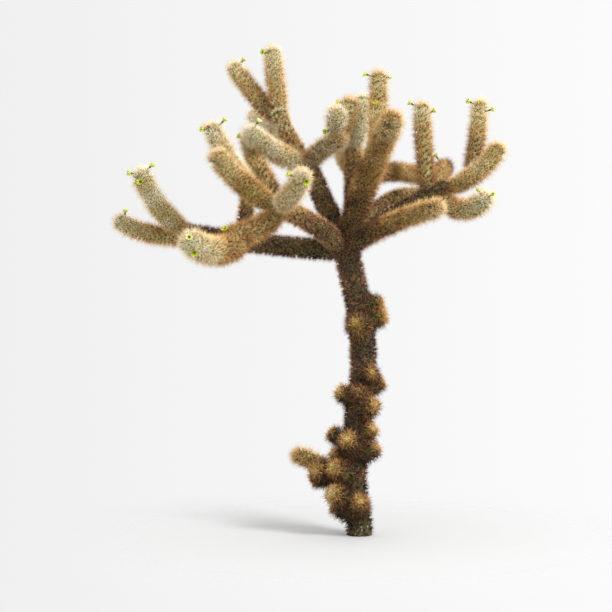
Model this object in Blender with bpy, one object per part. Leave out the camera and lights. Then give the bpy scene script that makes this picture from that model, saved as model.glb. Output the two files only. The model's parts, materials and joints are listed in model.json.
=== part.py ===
"""Cholla cactus, rooted in level ground: a leaning trunk, forked boughs and spiny arms.

Units are metres, with +Z up, +X to the right and +Y going back.  The origin is at the centre
of the flat cut under the trunk, at ground level.  Every limb is one closed solid: a round
tapering core, its facets raised into tubercles, that starts on its parent's centreline and is
cut 0.3 mm clear of it.  A limb is given by the place of its tip and by how far it bends upwards
on its way there, and its length and the points along it are worked out from those.
"""

import math
from typing import NamedTuple

import bmesh
import bpy
from mathutils import Matrix, Vector
from mathutils.kdtree import KDTree

# Driving dimensions.
TRUNK_WIDTH = 0.105
TRUNK_BENDS = ((0.0, 0.0), (0.10, -0.012), (0.20, -0.020), (0.42, -0.009), (0.64, 0.016), (0.86, -0.006),
               (0.96, -0.030))
TRUNK_TOP = (1.075, -0.053)
ROOT_FLARE = 0.006
ROOT_FLARE_HEIGHT = 0.07
STRAIGHT_FOOT = 0.03
TUBERCLE = 0.008
RING_SPACING = 0.050
GAP = 0.0003
CLEARANCE = 0.005
CROWD_SPACING = 0.01
SMALL_FACET = 0.00022
SIDES = 8
STEPS = 24
ROW_TWIST = math.radians(180 / SIDES)
TIP_ANGLES = (0, 36, 66)
BOUGH_TAPER = 0.86
ARM_TAPER = 0.90
ARM_NECK = 0.66
YOUNG_NECK = 1.00
NECK_START = 0.03
NECK_END = 0.09
STALK_RADIUS = 0.0035
CUP_RADIUS = 0.011
CUP_DEPTH = 0.014


class Limb(NamedTuple):
    """A bough, arm or young joint: where it leaves its parent, where it ends, and how it gets there.

    It leaves its parent at a share of the parent's length, ends at its tip's place, and bends
    upwards by its curl, in degrees, on the way.  Its flowers are the places of their cups, and its
    length is filled in when the plant is laid out.
    """

    name: str
    parent: str
    at: float
    tip: tuple
    curl: float
    width: float
    age: float
    neck: float = ARM_NECK
    taper: float = ARM_TAPER
    flowers: tuple = ()
    length: float = 0.0


def arm(name, parent, at, tip, curl, width, age, *flowers):
    """Describe an arm, which starts in a neck and ends free, with any flowers near its tip."""
    return Limb(name, parent, at, tip, curl, width, age, flowers=flowers)


def bough(name, parent, at, tip, curl, width, age):
    """Describe a limb with a full-width base that carries others at its end."""
    return Limb(name, parent, at, tip, curl, width, age, 1.0, BOUGH_TAPER)


def young(name, parent, at, tip, width):
    """Describe a short straight young joint, round as a ball, low on the trunk or on the low spur."""
    return Limb(name, parent, at, tip, 0, width, 0.50, YOUNG_NECK, 1.0)


TRUNK = Limb("trunk", "", 0.0, (TRUNK_TOP[1], 0.0, TRUNK_TOP[0]), 0, TRUNK_WIDTH, 0.95, 1.0, 1.0)
LEFT_SIDE = (
    bough("left_bough", "trunk", 0.97, (-0.670, 0.145, 1.120), 8, 0.090, 0.90),
    arm("left_up_arm", "left_bough", 0.95, (-0.810, 0.050, 1.340), 45, 0.088, 0.20,
        (-0.850, 0.035, 1.330), (-0.765, 0.040, 1.360), (-0.805, 0.000, 1.295)),
    arm("left_tip_arm", "left_bough", 0.90, (-0.915, 0.215, 1.165), 40, 0.082, 0.25,
        (-0.885, 0.195, 1.200)),
    bough("left_riser", "left_bough", 0.60, (-0.410, 0.100, 1.280), -15, 0.076, 0.85),
    arm("left_back_arm", "left_bough", 0.55, (-0.405, 0.430, 1.170), 20, 0.078, 0.30,
        (-0.370, 0.430, 1.200)),
)
FRONT_SIDE = (
    bough("front_bough", "trunk", 0.96, (-0.315, -0.230, 1.190), -30, 0.088, 0.75),
    arm("gold_up_arm", "front_bough", 0.90, (-0.515, -0.225, 1.375), 30, 0.088, 0.45),
    arm("gold_side_arm", "gold_up_arm", 0.30, (-0.540, -0.080, 1.490), 20, 0.080, 0.35,
        (-0.570, -0.110, 1.475), (-0.490, -0.100, 1.510)),
    arm("inner_up_arm", "front_bough", 0.90, (-0.410, 0.020, 1.465), 25, 0.084, 0.30,
        (-0.440, -0.020, 1.460)),
    arm("front_low_arm", "front_bough", 0.90, (-0.455, -0.400, 1.080), 45, 0.092, 0.35,
        (-0.470, -0.415, 1.100)),
    arm("front_curl_arm", "front_low_arm", 0.70, (-0.580, -0.620, 1.055), 65, 0.104, 0.10,
        (-0.570, -0.670, 1.060), (-0.555, -0.645, 1.010)),
    arm("front_hook_arm", "front_bough", 0.95, (-0.205, -0.420, 1.285), 35, 0.086, 0.15,
        (-0.255, -0.410, 1.285), (-0.195, -0.455, 1.255)),
)
MIDDLE = (
    bough("mid_bough", "trunk", 0.98, (-0.205, 0.150, 1.410), 5, 0.090, 0.85),
    arm("mid_left_arm", "mid_bough", 0.90, (-0.405, -0.100, 1.470), 30, 0.086, 0.15,
        (-0.365, -0.105, 1.505)),
    bough("mid_rise", "mid_bough", 0.90, (-0.300, 0.195, 1.585), 30, 0.082, 0.55),
    arm("crown_top_arm", "mid_rise", 0.90, (-0.325, 0.225, 1.820), 5, 0.082, 0.20,
        (-0.360, 0.190, 1.805)),
    arm("crown_left_arm", "mid_rise", 0.80, (-0.480, 0.335, 1.775), 15, 0.080, 0.30,
        (-0.440, 0.325, 1.800)),
    arm("mid_back_arm", "mid_rise", 0.55, (-0.405, 0.460, 1.600), 20, 0.076, 0.30,
        (-0.395, 0.425, 1.625)),
    bough("mid_right", "mid_bough", 0.90, (-0.060, -0.005, 1.450), -35, 0.082, 0.65),
    arm("knot_left_arm", "mid_right", 0.80, (-0.085, -0.060, 1.550), -35, 0.086, 0.20,
        (-0.125, -0.030, 1.475)),
    arm("knot_mid_arm", "mid_right", 0.85, (-0.035, 0.020, 1.595), 15, 0.084, 0.15,
        (-0.080, 0.010, 1.590)),
)
RIGHT_SIDE = (
    bough("thick_bough", "trunk", 0.98, (0.115, -0.250, 1.505), -20, 0.104, 0.70),
    bough("back_bough", "thick_bough", 0.25, (-0.020, 0.165, 1.445), -40, 0.090, 0.80),
    arm("knot_right_arm", "back_bough", 0.80, (0.025, 0.200, 1.625), -25, 0.092, 0.20),
    arm("back_arm", "back_bough", 0.60, (-0.055, 0.430, 1.475), 15, 0.080, 0.30,
        (-0.100, 0.440, 1.490), (-0.020, 0.430, 1.515)),
    arm("thick_up_arm", "thick_bough", 0.70, (0.070, 0.000, 1.690), 45, 0.076, 0.25,
        (0.020, -0.005, 1.690), (0.110, 0.000, 1.680), (0.055, -0.055, 1.575)),
    bough("gold_right_bough", "trunk", 0.98, (0.260, -0.380, 1.175), -15, 0.082, 0.60),
    bough("right_bough", "trunk", 0.98, (0.335, 0.030, 1.280), -15, 0.080, 0.75),
    arm("right_end_arm", "right_bough", 0.95, (0.515, 0.010, 1.425), 45, 0.084, 0.45),
    arm("right_up_arm", "right_end_arm", 0.40, (0.460, 0.150, 1.605), 30, 0.074, 0.25,
        (0.415, 0.135, 1.610), (0.505, 0.135, 1.580)),
    arm("right_post_arm", "right_bough", 0.80, (0.240, 0.150, 1.595), 10, 0.076, 0.30,
        (0.195, 0.140, 1.605), (0.285, 0.135, 1.575)),
    arm("right_spur_arm", "right_bough", 0.90, (0.340, 0.250, 1.375), -40, 0.070, 0.25,
        (0.345, 0.180, 1.365), (0.300, 0.225, 1.415)),
    arm("right_hook_arm", "right_bough", 0.90, (0.450, -0.145, 1.230), 105, 0.084, 0.30,
        (0.425, -0.115, 1.255), (0.465, -0.190, 1.235)),
    bough("rear_bough", "trunk", 0.96, (0.285, 0.360, 1.265), -70, 0.072, 0.80),
    arm("rear_arm", "back_bough", 0.40, (0.275, 0.460, 1.350), -25, 0.078, 0.45),
    arm("rear_low_arm", "rear_bough", 0.70, (0.190, 0.580, 1.260), 15, 0.074, 0.30,
        (0.225, 0.580, 1.295)),
)
YOUNG_JOINTS = (
    young("joint_top_right", "trunk", 0.78, (0.085, -0.015, 0.845), 0.080),
    young("joint_upper_right", "trunk", 0.73, (0.095, -0.030, 0.805), 0.082),
    young("joint_upper_front", "trunk", 0.70, (-0.020, -0.085, 0.785), 0.086),
    young("joint_middle_front", "trunk", 0.54, (0.045, -0.080, 0.600), 0.070),
    young("joint_middle_right", "trunk", 0.49, (0.085, -0.010, 0.565), 0.074),
    young("joint_centre_front", "trunk", 0.47, (-0.010, -0.080, 0.535), 0.070),
    young("joint_middle_left", "trunk", 0.45, (-0.080, -0.030, 0.530), 0.074),
    young("joint_centre_right", "trunk", 0.42, (0.055, -0.070, 0.485), 0.078),
    young("joint_low_left", "trunk", 0.30, (-0.110, 0.010, 0.375), 0.072),
    young("joint_low_front", "trunk", 0.30, (-0.050, -0.095, 0.360), 0.086),
    young("joint_low_right", "trunk", 0.32, (0.050, -0.050, 0.395), 0.076),
    young("joint_under_right", "trunk", 0.26, (0.065, -0.035, 0.325), 0.074),
    young("joint_under_left", "trunk", 0.24, (-0.100, -0.035, 0.305), 0.072),
    young("joint_base_left", "trunk", 0.19, (-0.105, -0.085, 0.260), 0.080),
    bough("low_spur", "trunk", 0.12, (-0.235, 0.000, 0.295), -40, 0.080, 0.60),
    young("joint_foot_left", "trunk", 0.11, (-0.110, -0.085, 0.165), 0.084),
    young("joint_foot_side", "trunk", 0.07, (-0.100, -0.015, 0.110), 0.078),
    young("joint_foot_front", "trunk", 0.08, (0.000, -0.090, 0.135), 0.080),
    young("joint_back_high", "trunk", 0.60, (0.000, 0.080, 0.685), 0.074),
    young("joint_back_middle", "trunk", 0.37, (0.025, 0.085, 0.430), 0.076),
    young("joint_back_low", "trunk", 0.16, (-0.045, 0.085, 0.205), 0.078),
    young("joint_spur_front", "low_spur", 0.55, (-0.165, -0.070, 0.245), 0.070),
    young("joint_spur_low", "low_spur", 0.45, (-0.175, 0.015, 0.195), 0.076),
)
LIMBS = (TRUNK,) + LEFT_SIDE + FRONT_SIDE + MIDDLE + RIGHT_SIDE + YOUNG_JOINTS

OLD_SKIN = Vector((0.075, 0.050, 0.028))
GOLD_SKIN = Vector((0.300, 0.190, 0.085))
PALE_SKIN = Vector((0.480, 0.390, 0.230))


def clear_scene():
    """Remove what the scene starts with."""
    for thing in list(bpy.data.objects):
        bpy.data.objects.remove(thing, do_unlink=True)


def heading(azimuth, elevation):
    """Return the unit vector for an azimuth and an elevation in degrees."""
    a = math.radians(azimuth)
    e = math.radians(elevation)
    return Vector((math.cos(e) * math.cos(a), math.cos(e) * math.sin(a), math.sin(e)))


def trunk_line():
    """Return the trunk's centreline: a smooth curve through its few bends, upright at the foot."""
    knots = [Vector((x, 0.0, z)) for z, x in TRUNK_BENDS] + [Vector((TRUNK_TOP[1], 0.0, TRUNK_TOP[0]))]
    ends = [Vector((0.0, 0.0, -knots[1].z))] + knots + [2 * knots[-1] - knots[-2]]
    line = []
    for i in range(STEPS + 1):
        z = TRUNK_TOP[0] * i / STEPS
        k = max(n for n in range(len(knots) - 1) if knots[n].z <= z + 1e-9)
        share = (z - knots[k].z) / (knots[k + 1].z - knots[k].z)
        a, b, c, d = ends[k:k + 4]
        x = 0.5 * (2 * b.x + (c.x - a.x) * share
                   + (2 * a.x - 5 * b.x + 4 * c.x - d.x) * share ** 2
                   + (3 * b.x - a.x - 3 * c.x + d.x) * share ** 3)
        line.append(Vector((x, 0.0, z)))
    line[1].x = line[0].x
    return line


def point_on(line, share):
    """Return the point at a share of the way along a centreline."""
    place = min(max(share, 0.0), 1.0) * (len(line) - 1)
    i = min(int(place), len(line) - 2)
    return line[i].lerp(line[i + 1], place - i)


def way_to(start, tip, curl):
    """Return the centreline from a start to a tip: an arc that bends upwards by its curl."""
    way = tip - start
    azimuth = math.degrees(math.atan2(way.y, way.x))
    slope = math.degrees(math.atan2(way.z, math.hypot(way.x, way.y)))
    steps = [heading(azimuth, slope + curl * ((i + 0.5) / STEPS - 0.5)) for i in range(STEPS)]
    stride = way.length / sum(steps, Vector()).length
    line = [start]
    for step in steps:
        line.append(line[-1] + step * stride)
    return line


def lay_out():
    """Return the limbs with their lengths, and every centreline by name, each starting on its parent's."""
    limbs = [TRUNK._replace(length=TRUNK_TOP[0])]
    lines = {TRUNK.name: trunk_line()}
    for limb in LIMBS[1:]:
        line = way_to(point_on(lines[limb.parent], limb.at), Vector(limb.tip), limb.curl)
        lines[limb.name] = line
        limbs.append(limb._replace(length=(line[1] - line[0]).length * STEPS))
    return limbs, lines


def core_radius(limb, run):
    """Return the radius of a limb's smooth core at a distance along it, tip rounding left out."""
    full = limb.width / 2 - TUBERCLE
    if limb.name == "trunk":
        flare = max(0.0, 1 - run / ROOT_FLARE_HEIGHT)
        return full * (1 - (1 - limb.taper) * run / limb.length) + ROOT_FLARE * flare ** 2
    grown = min(max((run - NECK_START) / (NECK_END - NECK_START), 0.0), 1.0)
    neck = limb.neck + (1 - limb.neck) * grown
    return full * neck * (1 - (1 - limb.taper) * run / limb.length)


def stations(limb):
    """Return pairs of distance along a limb and radius there, ending in a rounded tip."""
    tip = core_radius(limb, limb.length)
    first = STRAIGHT_FOOT if limb.name == "trunk" else 0.0
    body = limb.length - tip - first
    count = max(2, round(body / RING_SPACING))
    runs = [first + body * i / count for i in range(count)]
    if first:
        runs.insert(0, 0.0)
    pairs = [(run, core_radius(limb, run)) for run in runs]
    for angle in TIP_ANGLES:
        turn = math.radians(angle)
        pairs.append((limb.length - tip + tip * math.sin(turn), tip * math.cos(turn)))
    return pairs


def core_object(limb, line, grow, collection):
    """Make a limb's smooth core as a mesh from a bevelled curve, or the same tube grown as a cutter."""
    curve = bpy.data.curves.new(limb.name, "CURVE")
    curve.dimensions = "3D"
    curve.bevel_depth = limb.width / 2
    curve.bevel_resolution = (SIDES - 4) // 2
    curve.use_fill_caps = True
    curve.twist_mode = "MINIMUM"
    pairs = stations(limb)
    spline = curve.splines.new("POLY")
    spline.points.add(len(pairs) - 1)
    for i, (run, radius) in enumerate(pairs):
        place = point_on(line, run / limb.length)
        if grow and i == len(pairs) - 1:
            place = place + (line[-1] - line[-2]).normalized() * grow
        spline.points[i].co = (*place, 1.0)
        spline.points[i].radius = (radius + grow) / curve.bevel_depth
        spline.points[i].tilt = ROW_TWIST * i
    source = bpy.data.objects.new(limb.name + "_curve", curve)
    collection.objects.link(source)
    graph = bpy.context.evaluated_depsgraph_get()
    mesh = bpy.data.meshes.new_from_object(source.evaluated_get(graph), depsgraph=graph)
    bpy.data.objects.remove(source, do_unlink=True)
    tidy = bmesh.new()
    tidy.from_mesh(mesh)
    bmesh.ops.remove_doubles(tidy, verts=tidy.verts, dist=0.00005)
    bmesh.ops.recalc_face_normals(tidy, faces=tidy.faces)
    tidy.to_mesh(mesh)
    tidy.free()
    mesh.name = limb.name
    body = bpy.data.objects.new(limb.name, mesh)
    collection.objects.link(body)
    return body


def crowd_of(limbs, lines):
    """Return a tree of close samples of all centrelines, with each one's limb and core radius."""
    samples = []
    for limb in limbs:
        count = math.ceil(limb.length / CROWD_SPACING)
        for i in range(count + 1):
            radius = core_radius(limb, limb.length * i / count)
            samples.append((point_on(lines[limb.name], i / count), limb.name, radius))
    tree = KDTree(len(samples))
    for i, sample in enumerate(samples):
        tree.insert(sample[0], i)
    tree.balance()
    return tree, samples


def is_clear(place, margin, limb, crowd):
    """Tell whether a point stays a margin outside the core of every other limb."""
    tree, samples = crowd
    for _, i, distance in tree.find_range(place, TRUNK_WIDTH / 2 + margin):
        _, name, radius = samples[i]
        if name != limb.name and distance < radius + margin:
            return False
    return True


def can_rise(face, limb, crowd):
    """Tell whether a facet is clear of the other limbs and the ground, round its rim and raised."""
    if face.calc_center_median().z < STRAIGHT_FOOT or face.calc_area() < SMALL_FACET:
        return False
    tip = face.calc_center_median() + face.normal * TUBERCLE
    rim = [vert.co for vert in face.verts]
    rim += [(edge.verts[0].co + edge.verts[1].co) / 2 for edge in face.edges]
    return all(is_clear(place, CLEARANCE, limb, crowd) for place in rim) and is_clear(
        tip, TUBERCLE + CLEARANCE, limb, crowd)


def raise_tubercles(body, limb, crowd):
    """Raise the middle of each facet that stands clear of the other limbs, and triangulate the rest."""
    shape = bmesh.new()
    shape.from_mesh(body.data)
    raised = [face for face in shape.faces if len(face.verts) == 4 and can_rise(face, limb, crowd)]
    bmesh.ops.poke(shape, faces=raised, offset=TUBERCLE, center_mode="MEAN")
    plain = [face for face in shape.faces if len(face.verts) > 3]
    bmesh.ops.triangulate(shape, faces=plain, quad_method="FIXED")
    shape.to_mesh(body.data)
    shape.free()


def triangulate(body):
    """Split a cutter's facets the same way as the bare facets of the limb it stands for."""
    shape = bmesh.new()
    shape.from_mesh(body.data)
    bmesh.ops.triangulate(shape, faces=shape.faces, quad_method="FIXED")
    shape.to_mesh(body.data)
    shape.free()


def cone(name, low, high, low_radius, high_radius, sides, collection):
    """Make a closed cone or cylinder between two points."""
    mesh = bpy.data.meshes.new(name)
    shape = bmesh.new()
    way = high - low
    turn = way.to_track_quat("Z", "Y").to_matrix().to_4x4()
    bmesh.ops.create_cone(shape, cap_ends=True, segments=sides, radius1=low_radius, radius2=high_radius,
                          depth=way.length, matrix=Matrix.Translation((low + high) / 2) @ turn)
    shape.to_mesh(mesh)
    shape.free()
    body = bpy.data.objects.new(name, mesh)
    collection.objects.link(body)
    return body


def flower_pieces(limb, line, collection):
    """Make the stalk and the cup of each flower, the stalk sunk to the arm's centreline.

    A stalk grows from one step below the point of the centreline that is nearest to the cup.
    """
    for cup in limb.flowers:
        nearest = min(range(len(line)), key=lambda i: (line[i] - Vector(cup)).length)
        root = line[nearest - 1]
        way = (Vector(cup) - root).normalized()
        head = Vector(cup) - way * CUP_DEPTH / 2
        cone(limb.name + "_stalk", root, head + way * 0.004, STALK_RADIUS, STALK_RADIUS, 5, collection)
        cone(limb.name + "_cup", head, head + way * CUP_DEPTH, STALK_RADIUS * 1.3, CUP_RADIUS, 6, collection)


def apply_boolean(body, operation, others):
    """Join the body with, or cut it by, a whole collection, then empty that collection."""
    if not others.objects:
        return
    step = body.modifiers.new("boolean", "BOOLEAN")
    step.operation = operation
    step.operand_type = "COLLECTION"
    step.collection = others
    step.solver = "EXACT"
    graph = bpy.context.evaluated_depsgraph_get()
    mesh = bpy.data.meshes.new_from_object(body.evaluated_get(graph), depsgraph=graph)
    body.modifiers.clear()
    body.data = mesh
    for other in list(others.objects):
        bpy.data.objects.remove(other, do_unlink=True)


def keep_largest_body(body):
    """Drop the loose scraps that a cut leaves, and keep the limb itself."""
    shape = bmesh.new()
    shape.from_mesh(body.data)
    bmesh.ops.triangulate(shape, faces=[face for face in shape.faces if len(face.verts) > 3])
    bmesh.ops.dissolve_degenerate(shape, dist=0.00002, edges=shape.edges)
    bmesh.ops.triangulate(shape, faces=[face for face in shape.faces if len(face.verts) > 3])
    groups = []
    left = set(shape.verts)
    while left:
        front = [left.pop()]
        group = set(front)
        while front:
            for edge in front.pop().link_edges:
                for vert in edge.verts:
                    if vert in left:
                        left.remove(vert)
                        group.add(vert)
                        front.append(vert)
        groups.append(group)
    groups.sort(key=len, reverse=True)
    scraps = [vert for group in groups[1:] for vert in group]
    bmesh.ops.delete(shape, geom=scraps, context="VERTS")
    shape.to_mesh(body.data)
    shape.free()


def neighbours(limb, lines, done):
    """List the earlier limbs whose cores come within reach of this one."""
    near = []
    for other in done:
        reach = (limb.width + other.width) / 2
        pairs = ((a - b).length for a in lines[limb.name] for b in lines[other.name])
        if min(pairs) < reach:
            near.append(other)
    return near


def skin(limb):
    """Return the limb's own material, from dark old bark through gold to pale young spines."""
    if limb.age > 0.5:
        colour = GOLD_SKIN.lerp(OLD_SKIN, min(1.0, (limb.age - 0.5) / 0.4))
    else:
        colour = PALE_SKIN.lerp(GOLD_SKIN, limb.age / 0.5)
    material = bpy.data.materials.new(limb.name)
    material.use_nodes = True
    shader = material.node_tree.nodes["Principled BSDF"]
    shader.inputs["Base Color"].default_value = (*colour, 1.0)
    shader.inputs["Roughness"].default_value = 0.85
    shader.inputs["Metallic"].default_value = 0.0
    return material


def build_limb(limb, lines, crowd, done, plant, cutters):
    """Model one limb: core, tubercles, flowers, and the cut that keeps it clear of its neighbours."""
    body = core_object(limb, lines[limb.name], 0.0, plant)
    raise_tubercles(body, limb, crowd)
    flower_pieces(limb, lines[limb.name], cutters)
    apply_boolean(body, "UNION", cutters)
    for other in neighbours(limb, lines, done):
        cutter = core_object(other, lines[other.name], GAP * 1.2, cutters)
        cutter.hide_render = True
        cutter.display_type = "WIRE"
        triangulate(cutter)
    apply_boolean(body, "DIFFERENCE", cutters)
    keep_largest_body(body)
    body.data.materials.clear()
    body.data.materials.append(skin(limb))
    return body


def main():
    """Build the whole plant, limb by limb, from the trunk outwards."""
    clear_scene()
    plant = bpy.data.collections.new("cholla_cactus")
    cutters = bpy.data.collections.new("cutters")
    for collection in (plant, cutters):
        bpy.context.scene.collection.children.link(collection)
    limbs, lines = lay_out()
    crowd = crowd_of(limbs, lines)
    done = []
    for limb in limbs:
        build_limb(limb, lines, crowd, done, plant, cutters)
        done.append(limb)


main()
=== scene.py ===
"""Dressed cholla cactus: fleshy limbs with tubercles, a coat of spines, small flowers, a plain stage.

Units are metres, with +Z up, +X to the plant's right and +Y to its back.  The limbs repeat the
rule of the solids: each starts on the centreline of the limb that carries it, bends upwards by
its curl and ends at its tip's place.  Areoles stand on every limb in staggered spiral rows, one
on each tubercle, and each carries a star of short radial spines round longer central ones.  The
spines are joined by tint, because each tint is one plain colour.
"""

import json
import logging
import math
from dataclasses import dataclass, field, fields, replace
from enum import Enum
from typing import Any

import bpy
import numpy as np
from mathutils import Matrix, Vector
from mathutils.kdtree import KDTree

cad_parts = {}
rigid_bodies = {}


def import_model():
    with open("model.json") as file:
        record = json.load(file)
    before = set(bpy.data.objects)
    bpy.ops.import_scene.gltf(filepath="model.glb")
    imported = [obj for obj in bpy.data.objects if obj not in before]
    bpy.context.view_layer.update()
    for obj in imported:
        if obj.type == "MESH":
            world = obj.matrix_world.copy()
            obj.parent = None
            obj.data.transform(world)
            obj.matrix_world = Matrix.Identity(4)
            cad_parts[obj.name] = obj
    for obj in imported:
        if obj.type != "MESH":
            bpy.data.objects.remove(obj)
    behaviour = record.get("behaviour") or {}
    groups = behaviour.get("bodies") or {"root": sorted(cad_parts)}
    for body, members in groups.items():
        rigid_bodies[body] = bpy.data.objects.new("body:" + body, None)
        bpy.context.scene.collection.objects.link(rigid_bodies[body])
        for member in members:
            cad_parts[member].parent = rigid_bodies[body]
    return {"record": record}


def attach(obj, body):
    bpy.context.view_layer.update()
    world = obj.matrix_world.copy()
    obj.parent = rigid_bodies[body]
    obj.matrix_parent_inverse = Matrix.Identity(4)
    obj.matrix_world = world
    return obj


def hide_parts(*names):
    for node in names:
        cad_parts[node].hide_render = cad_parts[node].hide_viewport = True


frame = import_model()

LOG = logging.getLogger("cholla")
SEED = 20417
BODY = "root"

TRUNK_BENDS = ((0.0, 0.0), (0.10, -0.012), (0.20, -0.020), (0.42, -0.009), (0.64, 0.016), (0.86, -0.006),
               (0.96, -0.030))
TRUNK_TOP = (1.075, -0.053)
ROOT_FLARE = 0.006
ROOT_FLARE_HEIGHT = 0.07
STEPS = 24
NECK_START = 0.03
NECK_END = 0.09
ARM_NECK = 0.66
ARM_TAPER = 0.90
BOUGH_TAPER = 0.86
YOUNG_NECK = 1.50
YOUNG_TONES = (0.84, 0.38)
SPIRAL_ROWS = 4
DULLNESS = 0.15
BUMP = {"Strength": 0.5, "Distance": 0.0015}
FULL_TURN = 2 * math.pi
UP = np.array((0.0, 0.0, 1.0))
# A length too small to matter, which keeps rounding out of a comparison.
HAIR = 1e-9
# How upright and how deep a direction may run before another axis helps to find one square to it.
STEEP = 0.9
DEEP = 0.8

Vec = tuple[float, float, float]
Profile = tuple[tuple[float, float], ...]


class Kind(Enum):
    """The four kinds of limb, each with its own coat of spines."""

    TRUNK = "trunk"
    BOUGH = "bough"
    ARM = "arm"
    YOUNG = "young"


class Tint(Enum):
    """Plain spine colours from young cream to old black, as linear base colours."""

    CREAM = (0.850, 0.745, 0.545)
    PALE_STRAW = (0.800, 0.650, 0.395)
    STRAW = (0.720, 0.525, 0.255)
    HONEY = (0.640, 0.405, 0.155)
    GOLD = (0.545, 0.300, 0.090)
    TAN = (0.390, 0.205, 0.068)
    RUSSET = (0.260, 0.116, 0.044)
    UMBER = (0.150, 0.072, 0.036)
    ROSE = (0.440, 0.235, 0.125)
    MAUVE = (0.275, 0.128, 0.074)
    PLUM = (0.135, 0.062, 0.040)
    DARK_BROWN = (0.070, 0.038, 0.024)
    BLACK = (0.030, 0.018, 0.013)


YOUNG_RAMP = (Tint.CREAM, Tint.PALE_STRAW, Tint.STRAW, Tint.HONEY, Tint.GOLD,
              Tint.TAN, Tint.RUSSET, Tint.UMBER, Tint.DARK_BROWN, Tint.BLACK)
OLD_RAMP = (Tint.CREAM, Tint.PALE_STRAW, Tint.STRAW, Tint.HONEY, Tint.GOLD,
            Tint.ROSE, Tint.MAUVE, Tint.PLUM, Tint.DARK_BROWN, Tint.BLACK)


@dataclass(frozen=True)
class Star:
    """One round of spines on an areole.

    Attributes:
        count: number of spines.
        reach: shortest and longest spine.
        lean: least and greatest angle of a spine from the surface normal, in degrees.
        width: width of a spine at its root.
        shade: how much darker than the areole's tone these spines are.
    """

    count: int
    reach: tuple[float, float]
    lean: tuple[float, float]
    width: float
    shade: float


@dataclass(frozen=True)
class Coat:
    """How one kind of limb is clothed.

    Attributes:
        depth: how far the spines stand out past the flesh.
        tubercle: height of the tubercles.
        pitch: distance between areoles round the limb, and about that along it.
        fineness: corners of the flesh's mesh between one areole and the next.
        radials: the short spines that lie round each areole.
        centrals: the long spines that stand up from it.
        forward: how much the whole star leans towards the limb's tip.
        ramp: the tints from the palest to the darkest.
        tone_start: share of the limb's length where the tone starts to change.
        tuft: how much longer the spines at the very tip are.
        spread: how far the spines round the tip fold back from it.
    """

    depth: float
    tubercle: float
    pitch: float
    fineness: int
    radials: Star
    centrals: Star
    forward: float
    ramp: tuple[Tint, ...]
    tone_start: float = 0.0
    tuft: float = 0.15
    spread: float = 0.0


COATS = {
    Kind.TRUNK: Coat(0.0165, 0.0060, 0.0150, 4, Star(6, (0.010, 0.016), (42, 78), 0.0020, 0.02),
                     Star(8, (0.014, 0.023), (5, 55), 0.0019, -0.02), 0.10, OLD_RAMP),
    Kind.BOUGH: Coat(0.0160, 0.0048, 0.0138, 2, Star(9, (0.011, 0.017), (42, 76), 0.0016, 0.03),
                     Star(9, (0.015, 0.024), (5, 48), 0.0015, -0.03), 0.18, OLD_RAMP),
    Kind.ARM: Coat(0.0165, 0.0040, 0.0138, 2, Star(11, (0.014, 0.022), (36, 72), 0.0015, -0.03),
                   Star(11, (0.020, 0.034), (5, 48), 0.0013, 0.04), 0.25, YOUNG_RAMP),
    Kind.YOUNG: Coat(0.0190, 0.0042, 0.0135, 2, Star(6, (0.014, 0.021), (40, 76), 0.0022, 0.06),
                     Star(6, (0.024, 0.037), (8, 62), 0.0023, -0.04), 0.12, YOUNG_RAMP, 0.50, -0.50, 0.90),
}


@dataclass(frozen=True)
class Flower:
    """A flower by the place of its cup, yellow or pale."""

    cup: Vec
    pale: bool = False


@dataclass(frozen=True)
class Limb:
    """One limb: where it leaves its parent, where it ends, and its tone at the base and the tip.

    Attributes:
        name: name of the CAD node that it stands for.
        parent: name of the limb that carries it.
        at: share of the parent's length at which it leaves it.
        tip: the place where it ends.
        curl: how far it bends upwards on its way there, in degrees.
        width: its width over its spines.
        old: tone of its spines at the base, 0 palest to 1 darkest.
        new: tone at the tip.
        kind: the kind of limb.
        neck: share of its full girth that it has where it starts.
        taper: share of its full girth that it has at the tip.
        flowers: its flowers.
        length: its length, filled in by lay_out.
    """

    name: str
    parent: str
    at: float
    tip: Vec
    curl: float
    width: float
    old: float
    new: float
    kind: Kind = Kind.ARM
    neck: float = ARM_NECK
    taper: float = ARM_TAPER
    flowers: tuple[Flower, ...] = ()
    length: float = 0.0


def arm(name: str, parent: str, at: float, tip: Vec, curl: float, width: float, old: float, new: float,
        *flowers: Flower) -> Limb:
    """Describe an arm, which starts in a neck and ends free, with any flowers near its tip."""
    return Limb(name, parent, at, tip, curl, width, old, new, flowers=flowers)


def bough(name: str, parent: str, at: float, tip: Vec, curl: float, width: float, old: float, new: float,
          kind: Kind = Kind.BOUGH) -> Limb:
    """Describe a limb with a full-width base, in a bough's coat unless it wears an arm's."""
    return Limb(name, parent, at, tip, curl, width, old, new, kind, 1.0, BOUGH_TAPER)


def young(name: str, at: float, tip: Vec, width: float, new: float = YOUNG_TONES[1],
          parent: str = "trunk") -> Limb:
    """Describe a short straight young joint, round as a ball, on the trunk or on the low spur."""
    return Limb("joint_" + name, parent, at, tip, 0, width, YOUNG_TONES[0], new, Kind.YOUNG, YOUNG_NECK, 1.0)


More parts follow.
